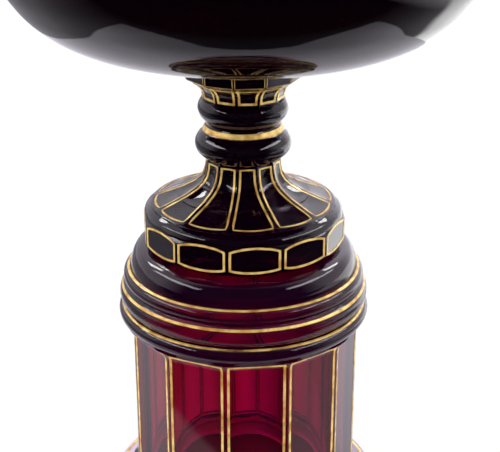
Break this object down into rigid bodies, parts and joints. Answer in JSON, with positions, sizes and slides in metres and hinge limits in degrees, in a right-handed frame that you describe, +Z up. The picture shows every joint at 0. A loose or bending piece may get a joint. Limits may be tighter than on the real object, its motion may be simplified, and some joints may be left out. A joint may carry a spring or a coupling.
{
  "type": "glass centrepiece",
  "caption": "Wide footed glass bowl standing loose on a hollow faceted glass pedestal with a ribbed cap, every cut panel outlined in gilding.",
  "frame": {"origin": "centre of the base ring's underside, on the axis of symmetry", "axes": "+Z up along the axis of symmetry, -Y out of the middle of one flat side of the drum"},
  "size_m": [0.236, 0.236, 0.317],
  "materials": {
    "ruby_thick": "polished, so deep a ruby that it looks nearly black",
    "ruby_wall": "polished, bright crimson where light comes through the wall",
    "ruby_stem": "polished",
    "gilding": "burnished gilding on glass"
  },
  "bodies": {
    "pedestal": {"base_ring": "ruby_thick", "drum": "ruby_wall", "ribbed_cap": "ruby_thick", "gilt_base_line": "gilding", "gilt_cap_line_lower": "gilding", "gilt_cap_line_middle": "gilding", "gilt_cap_line_upper": "gilding", "gilt_drum_frame_01": "gilding", "gilt_drum_frame_02": "gilding", "gilt_drum_frame_03": "gilding", "gilt_drum_frame_04": "gilding", "gilt_drum_frame_05": "gilding", "gilt_drum_frame_06": "gilding", "gilt_drum_frame_07": "gilding", "gilt_drum_frame_08": "gilding", "gilt_drum_frame_09": "gilding", "gilt_drum_frame_10": "gilding", "gilt_drum_frame_11": "gilding", "gilt_drum_frame_12": "gilding"},
    "footed_bowl": {"foot_plate": "ruby_thick", "stem": "ruby_stem", "lower_knop": "ruby_stem", "upper_knop": "ruby_stem", "collar": "ruby_stem", "bowl": "ruby_thick", "gilt_foot_frame_01": "gilding", "gilt_foot_frame_02": "gilding", "gilt_foot_frame_03": "gilding", "gilt_foot_frame_04": "gilding", "gilt_foot_frame_05": "gilding", "gilt_foot_frame_06": "gilding", "gilt_foot_frame_07": "gilding", "gilt_foot_frame_08": "gilding", "gilt_foot_frame_09": "gilding", "gilt_foot_frame_10": "gilding", "gilt_foot_frame_11": "gilding", "gilt_foot_frame_12": "gilding", "gilt_petal_01": "gilding", "gilt_petal_02": "gilding", "gilt_petal_03": "gilding", "gilt_petal_04": "gilding", "gilt_petal_05": "gilding", "gilt_petal_06": "gilding", "gilt_petal_07": "gilding", "gilt_petal_08": "gilding", "gilt_petal_09": "gilding", "gilt_petal_10": "gilding", "gilt_petal_11": "gilding", "gilt_petal_12": "gilding", "gilt_neck_band": "gilding", "gilt_collar": "gilding", "gilt_rim_line": "gilding"}
  },
  "joints": [
    {"name": "bowl_lift", "type": "slide", "parent": "pedestal", "child": "footed_bowl", "axis": [0, 0, 1], "range_m": [0, 0.16]}
  ]
}
